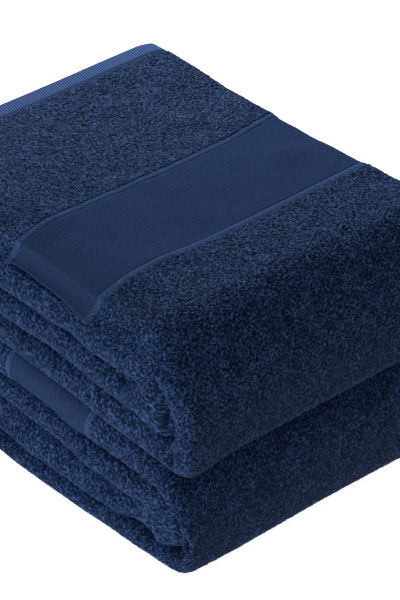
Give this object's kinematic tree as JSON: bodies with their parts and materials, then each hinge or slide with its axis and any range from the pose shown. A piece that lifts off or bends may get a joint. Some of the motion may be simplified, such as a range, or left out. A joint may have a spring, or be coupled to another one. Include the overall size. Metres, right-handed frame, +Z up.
{
  "type": "bath towel set",
  "caption": "Matching terry bath towels, each folded lengthwise in thirds and crosswise in quarters, stacked flat; the upper one lifts off.",
  "frame": {"origin": "centre of the stack's footprint, on the surface that it stands on", "axes": "+Z up; +X across the packs, towards the side with the loose long edges; +Y along the packs, away from the big fold and towards the sewn end that shows on top"},
  "size_m": [0.2594, 0.3552, 0.1744],
  "materials": {
    "terry_pile": "looped cotton pile, matt, navy",
    "dobby_band": "flat fine weave, matt with a slight sheen, navy",
    "woven_rib": "raised cord weave, matt, lighter navy",
    "flat_hem": "folded flat weave with fine slanted ribs, matt, lighter navy",
    "sewing_thread": "twisted polyester thread, satin, navy"
  },
  "bodies": {
    "lower_towel": {"lower_main_terry": "terry_pile", "lower_top_end_terry": "terry_pile", "lower_dobby_band": "dobby_band", "lower_outer_rib": "woven_rib", "lower_inner_rib": "woven_rib", "lower_top_end_hem": "flat_hem", "lower_tucked_end_hem": "flat_hem", "lower_tucked_side_hem": "flat_hem", "lower_loose_side_hem": "flat_hem", "lower_top_end_seam": "sewing_thread", "lower_tucked_end_seam": "sewing_thread", "lower_tucked_side_seam": "sewing_thread", "lower_loose_side_seam": "sewing_thread"},
    "upper_towel": {"upper_main_terry": "terry_pile", "upper_top_end_terry": "terry_pile", "upper_dobby_band": "dobby_band", "upper_outer_rib": "woven_rib", "upper_inner_rib": "woven_rib", "upper_top_end_hem": "flat_hem", "upper_tucked_end_hem": "flat_hem", "upper_tucked_side_hem": "flat_hem", "upper_loose_side_hem": "flat_hem", "upper_top_end_seam": "sewing_thread", "upper_tucked_end_seam": "sewing_thread", "upper_tucked_side_seam": "sewing_thread", "upper_loose_side_seam": "sewing_thread"}
  },
  "joints": [
    {"name": "upper_towel_lift", "type": "slide", "parent": "lower_towel", "child": "upper_towel", "axis": [0, 0, 1], "range_m": [0, 0.15]}
  ]
}
